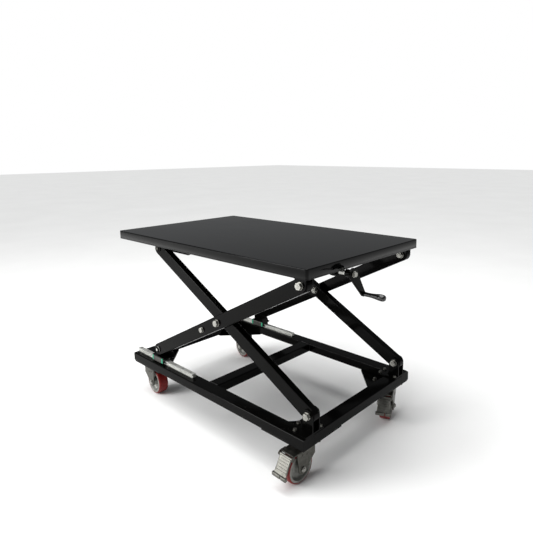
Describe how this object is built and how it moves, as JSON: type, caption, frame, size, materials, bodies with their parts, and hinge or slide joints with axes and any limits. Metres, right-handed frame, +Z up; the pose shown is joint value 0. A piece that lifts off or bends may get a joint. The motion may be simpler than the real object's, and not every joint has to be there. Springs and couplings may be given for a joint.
{
  "type": "scissor lift table",
  "caption": "Hand-cranked scissor lift table: flat rectangular top on crossed arms that slide on guide rails, over a box-section base on swivel casters with foot brakes.",
  "frame": {"origin": "bottom centre of the whole object's box, on the floor between the casters", "axes": "+X along the long side towards the crank end, +Y from the near side to the far side, +Z up"},
  "size_m": [1.357, 0.7766, 0.819],
  "materials": {
    "gloss_black_enamel": "high-gloss black enamel",
    "black_powder_coat": "semi-gloss black powder coat",
    "ground_rail_steel": "ground bearing steel",
    "block_steel": "ground steel slide block",
    "zinc_plate": "bright zinc plate",
    "wheel_core_iron": "grey cast wheel centre",
    "red_polyurethane": "red cast polyurethane tread",
    "bronze": "turned bronze",
    "grip_plastic": "glossy black moulded handle"
  },
  "bodies": {
    "base": {"base_side_front": "black_powder_coat", "base_side_rear": "black_powder_coat", "base_end_left": "black_powder_coat", "base_end_right": "black_powder_coat", "base_cross_beam": "black_powder_coat", "corner_plates": "black_powder_coat", "lower_bracket_front": "black_powder_coat", "lower_bracket_rear": "black_powder_coat", "lower_pivot_bolts": "zinc_plate", "lower_rail_front": "ground_rail_steel", "lower_rail_rear": "ground_rail_steel", "caster_bolts": "zinc_plate", "caster_plate_front_left": "zinc_plate", "caster_plate_front_right": "zinc_plate", "caster_plate_rear_left": "zinc_plate", "caster_plate_rear_right": "zinc_plate"},
    "inner_arms": {"inner_arm_front": "black_powder_coat", "inner_arm_rear": "black_powder_coat"},
    "outer_arms": {"outer_arm_front": "black_powder_coat", "outer_arm_rear": "black_powder_coat", "arm_bolts": "zinc_plate"},
    "table": {"table_top": "gloss_black_enamel", "top_frame": "black_powder_coat", "upper_rail_front": "ground_rail_steel", "upper_rail_rear": "ground_rail_steel", "upper_bracket_front": "black_powder_coat", "upper_bracket_rear": "black_powder_coat", "upper_pivot_bolts": "zinc_plate", "bearing_block": "black_powder_coat"},
    "lower_carriage": {"lower_block_front": "block_steel", "lower_block_rear": "block_steel", "lower_lug_front": "black_powder_coat", "lower_lug_rear": "black_powder_coat"},
    "upper_carriage": {"upper_block_front": "block_steel", "upper_block_rear": "block_steel", "upper_lug_front": "black_powder_coat", "upper_lug_rear": "black_powder_coat", "drive_bar": "black_powder_coat", "drive_nut": "bronze"},
    "crank": {"lead_screw": "ground_rail_steel", "crank_arm": "black_powder_coat"},
    "grip": {"crank_grip": "grip_plastic"},
    "swivel_front_left": {"caster_fork_front_left": "zinc_plate", "caster_axle_front_left": "zinc_plate"},
    "wheel_front_left": {"caster_core_front_left": "wheel_core_iron", "caster_tyre_front_left": "red_polyurethane"},
    "swivel_front_right": {"caster_fork_front_right": "zinc_plate", "caster_axle_front_right": "zinc_plate"},
    "wheel_front_right": {"caster_core_front_right": "wheel_core_iron", "caster_tyre_front_right": "red_polyurethane"},
    "pedal_front_right": {"brake_pedal_front_right": "zinc_plate"},
    "swivel_rear_left": {"caster_fork_rear_left": "zinc_plate", "caster_axle_rear_left": "zinc_plate"},
    "wheel_rear_left": {"caster_core_rear_left": "wheel_core_iron", "caster_tyre_rear_left": "red_polyurethane"},
    "swivel_rear_right": {"caster_fork_rear_right": "zinc_plate", "caster_axle_rear_right": "zinc_plate"},
    "wheel_rear_right": {"caster_core_rear_right": "wheel_core_iron", "caster_tyre_rear_right": "red_polyurethane"},
    "pedal_rear_right": {"brake_pedal_rear_right": "zinc_plate"}
  },
  "joints": [
    {"name": "lift", "type": "hinge", "parent": "base", "child": "inner_arms", "pos_m": [0.5045, 0.02832, 0.266], "axis": [0, 1, 0], "range_deg": [-21.6, 18.4]},
    {"name": "scissor", "type": "hinge", "parent": "inner_arms", "child": "outer_arms", "pos_m": [0.03924, 0.02832, 0.50923], "axis": [0, 1, 0], "range_deg": [-36.8, 43.2]},
    {"name": "table_level", "type": "hinge", "parent": "outer_arms", "child": "table", "pos_m": [0.5045, 0.02832, 0.75246], "axis": [0, 1, 0], "range_deg": [-21.6, 18.4]},
    {"name": "lower_slide", "type": "hinge", "parent": "outer_arms", "child": "lower_carriage", "pos_m": [-0.42601, 0.02832, 0.266], "axis": [0, 1, 0], "range_deg": [-21.6, 18.4]},
    {"name": "upper_slide", "type": "hinge", "parent": "inner_arms", "child": "upper_carriage", "pos_m": [-0.42601, 0.02832, 0.75246], "axis": [0, 1, 0], "range_deg": [-18.4, 21.6]},
    {"name": "crank_turn", "type": "hinge", "parent": "table", "child": "crank", "pos_m": [0.5785, -0.12418, 0.769], "axis": [1, 0, 0], "continuous": true},
    {"name": "grip_spin", "type": "hinge", "parent": "crank", "child": "grip", "pos_m": [0.6285, -0.06118, 0.683], "axis": [1, 0, 0], "continuous": true},
    {"name": "swivel_front_left", "type": "hinge", "parent": "base", "child": "swivel_front_left", "pos_m": [-0.5555, -0.26118, 0.142], "axis": [0, 0, 1], "continuous": true},
    {"name": "wheel_spin_front_left", "type": "hinge", "parent": "swivel_front_left", "child": "wheel_front_left", "pos_m": [-0.52158, -0.26355, 0.0625], "axis": [0.0698, 0.9976, 0], "continuous": true},
    {"name": "swivel_front_right", "type": "hinge", "parent": "base", "child": "swivel_front_right", "pos_m": [0.4625, -0.26118, 0.142], "axis": [0, 0, 1], "continuous": true},
    {"name": "wheel_spin_front_right", "type": "hinge", "parent": "swivel_front_right", "child": "wheel_front_right", "pos_m": [0.46131, -0.29516, 0.0625], "axis": [0.9994, -0.0349, 0], "continuous": true},
    {"name": "brake_front_right", "type": "hinge", "parent": "swivel_front_right", "child": "pedal_front_right", "pos_m": [0.45953, -0.34613, 0.122], "axis": [0.9994, -0.0349, 0], "range_deg": [0, 8]},
    {"name": "swivel_rear_left", "type": "hinge", "parent": "base", "child": "swivel_rear_left", "pos_m": [-0.5555, 0.31782, 0.142], "axis": [0, 0, 1], "continuous": true},
    {"name": "wheel_spin_rear_left", "type": "hinge", "parent": "swivel_rear_left", "child": "wheel_rear_left", "pos_m": [-0.52183, 0.31309, 0.0625], "axis": [0.1392, 0.9903, 0], "continuous": true},
    {"name": "swivel_rear_right", "type": "hinge", "parent": "base", "child": "swivel_rear_right", "pos_m": [0.4625, 0.31782, 0.142], "axis": [0, 0, 1], "continuous": true},
    {"name": "wheel_spin_rear_right", "type": "hinge", "parent": "swivel_rear_right", "child": "wheel_rear_right", "pos_m": [0.47633, 0.28676, 0.0625], "axis": [0.9135, 0.4067, 0], "continuous": true},
    {"name": "brake_rear_right", "type": "hinge", "parent": "swivel_rear_right", "child": "pedal_rear_right", "pos_m": [0.49707, 0.24017, 0.122], "axis": [0.9135, 0.4067, 0], "range_deg": [0, 8]}
  ],
  "couplings": [
    {"joint": "scissor", "follows": "lift", "ratio": -2},
    {"joint": "table_level", "follows": "lift", "ratio": 1},
    {"joint": "lower_slide", "follows": "lift", "ratio": 1},
    {"joint": "upper_slide", "follows": "lift", "ratio": -1}
  ]
}
